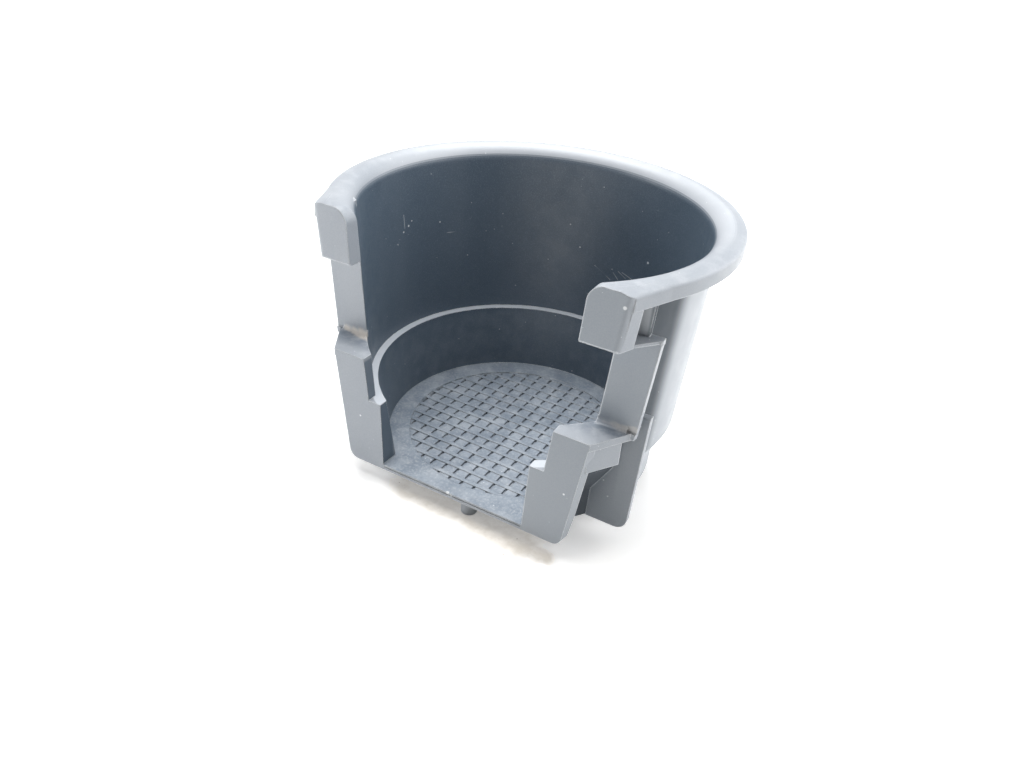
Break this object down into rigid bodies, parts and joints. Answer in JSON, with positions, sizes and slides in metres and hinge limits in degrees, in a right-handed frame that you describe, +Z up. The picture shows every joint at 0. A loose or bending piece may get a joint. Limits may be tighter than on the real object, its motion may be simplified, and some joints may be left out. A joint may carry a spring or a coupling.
{
  "type": "car cup holder insert",
  "caption": "Moulded car cup holder insert with a rolled rim, an open flat front between two stepped posts, an inner step and a woven floor.",
  "frame": {"origin": "on the standing plane, under the middle of the part's bounding box", "axes": "+Z up along the cup's axis, +Y towards the closed back, the flat open front faces -Y, +X to the right seen from the front"},
  "size_m": [0.0964, 0.0815, 0.0704],
  "materials": {
    "body": "satin"
  },
  "bodies": {
    "root": {"cup_holder": "body"}
  },
  "joints": []
}
